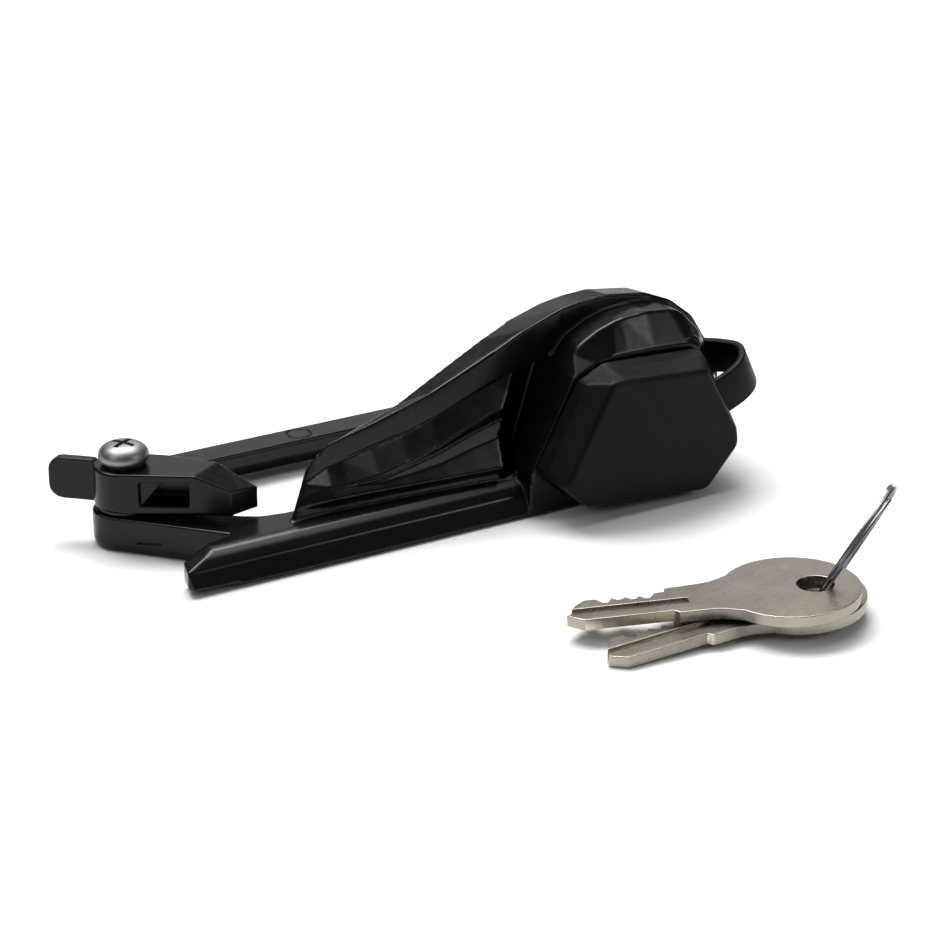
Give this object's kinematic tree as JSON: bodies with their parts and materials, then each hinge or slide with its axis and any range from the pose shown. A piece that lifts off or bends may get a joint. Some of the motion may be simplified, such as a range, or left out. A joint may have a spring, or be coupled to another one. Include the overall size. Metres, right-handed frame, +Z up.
{
  "type": "coupler lock",
  "caption": "Keyed lock with a slotted fork frame, a swinging latch pawl, a raised lock head under a tethered dust cap, and loose keys on a split ring.",
  "frame": {"origin": "centre of the hub's underside, on the resting plane", "axes": "+X from the hub along the frame to the lock head, -Y is the front with the dust cap, +Z is up"},
  "size_m": [0.1203, 0.1117, 0.0344],
  "materials": {
    "black_coat": "semi-gloss black powder coat on a die casting",
    "black_moulding": "fine black moulded plastic",
    "black_rubber": "satin black rubber",
    "stainless": "dull stainless",
    "zinc_steel": "zinc plated",
    "spring_steel": "drawn wire",
    "zinc_casting": "plated zinc casting",
    "brass": "turned brass",
    "nickel_plate": "worn nickel plate",
    "ring_steel": "dark polished wire"
  },
  "bodies": {
    "frame": {"main_frame": "black_coat", "rear_cover": "black_moulding", "cover_screw_1": "zinc_steel", "cover_screw_2": "zinc_steel", "cover_screw_3": "zinc_steel", "cover_screw_4": "zinc_steel", "thread_insert": "brass", "pivot_washer": "black_moulding", "pivot_bush": "zinc_steel", "pawl_spring": "spring_steel", "pivot_screw": "stainless", "lock_barrel": "zinc_casting", "barrel_seal": "black_rubber", "barrel_nut": "zinc_steel", "cap_strap": "black_rubber"},
    "pawl": {"latch_pawl": "black_coat"},
    "plug": {"lock_plug": "brass", "cam_tongue": "zinc_steel", "cam_washer": "zinc_steel", "cam_screw": "zinc_steel", "wafer_spring_1": "spring_steel", "wafer_spring_2": "spring_steel", "wafer_spring_3": "spring_steel", "wafer_spring_4": "spring_steel", "wafer_spring_5": "spring_steel"},
    "wafer_1_body": {"wafer_1": "brass"},
    "wafer_2_body": {"wafer_2": "brass"},
    "wafer_3_body": {"wafer_3": "brass"},
    "wafer_4_body": {"wafer_4": "brass"},
    "wafer_5_body": {"wafer_5": "brass"},
    "cap": {"dust_cap": "black_rubber"},
    "key_two": {"key_2": "nickel_plate"},
    "key_one": {"key_1": "nickel_plate"},
    "ring": {"split_ring": "ring_steel"}
  },
  "joints": [
    {"name": "pawl_swing", "type": "hinge", "parent": "frame", "child": "pawl", "pos_m": [0.0004, -0.00025, 0.0107], "axis": [0, 0, 1], "range_deg": [0, 60], "stiffness_Nm_per_rad": 0.01, "springref_deg": -20.05},
    {"name": "plug_turn", "type": "hinge", "parent": "frame", "child": "plug", "pos_m": [0.0865, -0.024, 0.014], "axis": [0, 1, 0], "range_deg": [0, 90]},
    {"name": "wafer_1_lift", "type": "slide", "parent": "plug", "child": "wafer_1_body", "axis": [0, 0, 1], "range_m": [-0.0004, 0.0004], "stiffness_N_per_m": 60, "deforming": ["wafer_spring_1"]},
    {"name": "wafer_2_lift", "type": "slide", "parent": "plug", "child": "wafer_2_body", "axis": [0, 0, 1], "range_m": [-0.0004, 0.0004], "stiffness_N_per_m": 60, "deforming": ["wafer_spring_2"]},
    {"name": "wafer_3_lift", "type": "slide", "parent": "plug", "child": "wafer_3_body", "axis": [0, 0, 1], "range_m": [-0.0004, 0.0004], "stiffness_N_per_m": 60, "deforming": ["wafer_spring_3"]},
    {"name": "wafer_4_lift", "type": "slide", "parent": "plug", "child": "wafer_4_body", "axis": [0, 0, 1], "range_m": [-0.0004, 0.0004], "stiffness_N_per_m": 60, "deforming": ["wafer_spring_4"]},
    {"name": "wafer_5_lift", "type": "slide", "parent": "plug", "child": "wafer_5_body", "axis": [0, 0, 1], "range_m": [-0.0004, 0.0004], "stiffness_N_per_m": 60, "deforming": ["wafer_spring_5"]},
    {"name": "cap_hinge", "type": "hinge", "parent": "frame", "child": "cap", "pos_m": [0.1031, -0.0283, 0.0176], "axis": [-0.42, 0, 0.9075], "range_deg": [0, 100], "deforming": ["cap_strap"]},
    {"name": "keys_lift", "type": "slide", "parent": "frame", "child": "key_two", "axis": [0, 0, 1], "range_m": [0, 0.06]},
    {"name": "key_1_swing", "type": "hinge", "parent": "key_two", "child": "key_one", "pos_m": [0.0811, -0.085, 0.0045], "axis": [0, 0, 1], "range_deg": [-8, 15]},
    {"name": "ring_tilt", "type": "hinge", "parent": "key_two", "child": "ring", "pos_m": [0.0828, -0.0835, 0.0038], "axis": [0.7997, 0.6004, 0], "range_deg": [-8, 0]}
  ]
}
